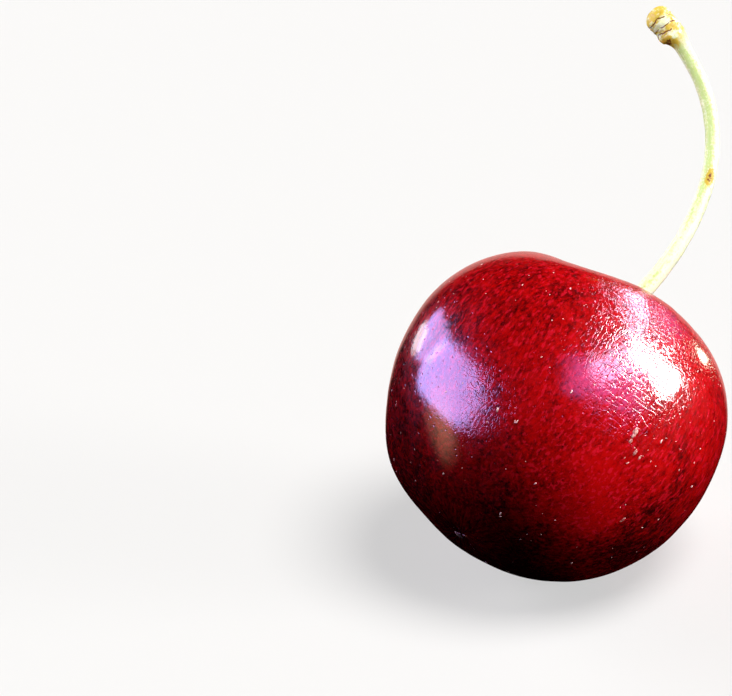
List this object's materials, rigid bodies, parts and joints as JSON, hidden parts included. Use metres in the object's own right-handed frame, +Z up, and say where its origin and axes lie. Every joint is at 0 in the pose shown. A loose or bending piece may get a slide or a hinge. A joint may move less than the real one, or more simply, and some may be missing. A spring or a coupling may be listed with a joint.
{
  "type": "cherry with stalk",
  "caption": "Ripe glossy dark red sweet cherry lying on its cheek, with a curved pale green stalk in its stem cavity that ends in a woody ringed knob.",
  "frame": {"origin": "middle of the small flat patch that the cherry rests on, on the surface it lies on", "axes": "+Z up, +X to the right of the side that shows the suture, +Y away from that side, towards which the stalk leans"},
  "size_m": [0.0272, 0.0376, 0.0379],
  "materials": {
    "cherry_skin": "glossy dark red fruit skin with fine paler flecks",
    "stalk_bark": "matt pale green to cream stalk with a golden brown end"
  },
  "bodies": {
    "root": {"fruit": "cherry_skin", "stalk": "stalk_bark"}
  },
  "joints": []
}
